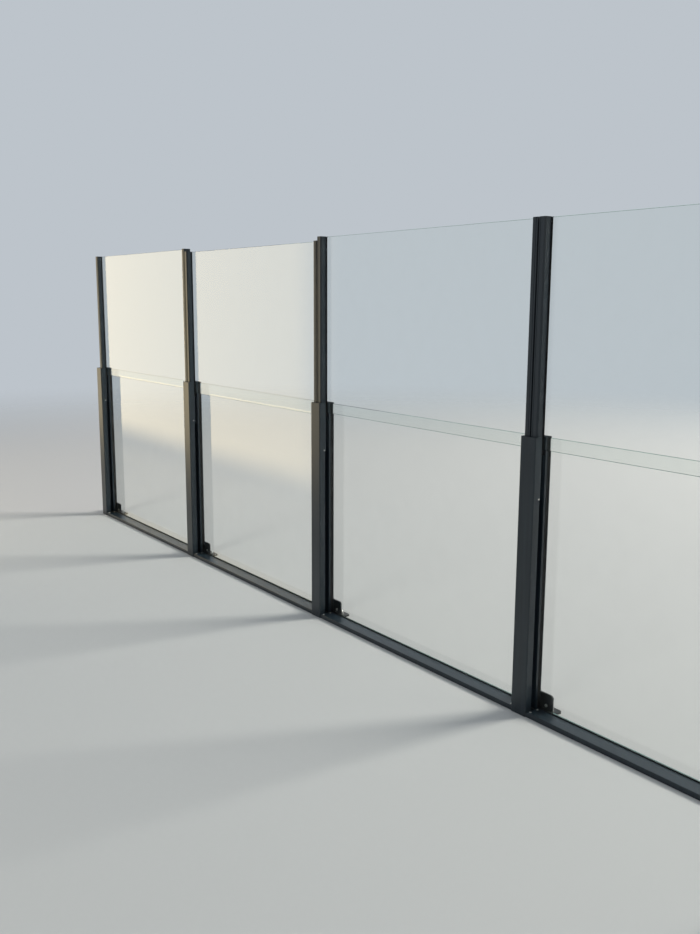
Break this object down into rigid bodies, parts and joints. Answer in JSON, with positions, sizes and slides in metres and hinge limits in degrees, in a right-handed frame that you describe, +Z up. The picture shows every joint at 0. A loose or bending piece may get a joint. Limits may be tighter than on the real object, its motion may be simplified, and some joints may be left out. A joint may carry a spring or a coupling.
{
  "type": "height-adjustable glass windscreen",
  "caption": "Terrace windscreen in bays: fixed lower glass panes between guide posts, with a clear upper pane in each bay that slides up and down in the posts.",
  "frame": {"origin": "centre of the middle post's foot, on its flat underside at ground level", "axes": "+X along the row, to the right as seen from the sheltered side; +Y outward; +Z up"},
  "size_m": [5.86, 0.1503, 1.897],
  "materials": {
    "powder_coat": "anthracite powder coat, fine satin",
    "foot_coat": "black powder coat",
    "glass": "clear toughened, polished edges",
    "gasket": "matt black",
    "glide_plastic": "matt black"
  },
  "bodies": {
    "frame": {"post_1_casing": "powder_coat", "post_1_glazing_bar": "powder_coat", "post_1_foot": "foot_coat", "post_2_casing": "powder_coat", "post_2_glazing_bar": "powder_coat", "post_2_foot": "foot_coat", "post_3_casing": "powder_coat", "post_3_glazing_bar": "powder_coat", "post_3_foot": "foot_coat", "post_4_casing": "powder_coat", "post_4_glazing_bar": "powder_coat", "post_4_foot": "foot_coat", "post_5_casing": "powder_coat", "post_5_glazing_bar": "powder_coat", "post_5_foot": "foot_coat", "base_rail_1": "powder_coat", "fixed_pane_1": "glass", "fixed_pane_1_gaskets": "gasket", "base_rail_2": "powder_coat", "fixed_pane_2": "glass", "fixed_pane_2_gaskets": "gasket", "base_rail_3": "powder_coat", "fixed_pane_3": "glass", "fixed_pane_3_gaskets": "gasket", "base_rail_4": "powder_coat", "fixed_pane_4": "glass", "fixed_pane_4_gaskets": "gasket"},
    "sash_1": {"sash_1_pane": "glass", "sash_1_left_stile": "powder_coat", "sash_1_right_stile": "powder_coat", "sash_1_gaskets": "gasket", "sash_1_glides": "glide_plastic"},
    "sash_2": {"sash_2_pane": "glass", "sash_2_left_stile": "powder_coat", "sash_2_right_stile": "powder_coat", "sash_2_gaskets": "gasket", "sash_2_glides": "glide_plastic"},
    "sash_3": {"sash_3_pane": "glass", "sash_3_left_stile": "powder_coat", "sash_3_right_stile": "powder_coat", "sash_3_gaskets": "gasket", "sash_3_glides": "glide_plastic"},
    "sash_4": {"sash_4_pane": "glass", "sash_4_left_stile": "powder_coat", "sash_4_right_stile": "powder_coat", "sash_4_gaskets": "gasket", "sash_4_glides": "glide_plastic"}
  },
  "joints": [
    {"name": "sash_1_slide", "type": "slide", "parent": "frame", "child": "sash_1", "axis": [0, 0, 1], "range_m": [-0.8, 0]},
    {"name": "sash_2_slide", "type": "slide", "parent": "frame", "child": "sash_2", "axis": [0, 0, 1], "range_m": [-0.782, 0.018]},
    {"name": "sash_3_slide", "type": "slide", "parent": "frame", "child": "sash_3", "axis": [0, 0, 1], "range_m": [-0.8, 0]},
    {"name": "sash_4_slide", "type": "slide", "parent": "frame", "child": "sash_4", "axis": [0, 0, 1], "range_m": [-0.8, 0]}
  ]
}
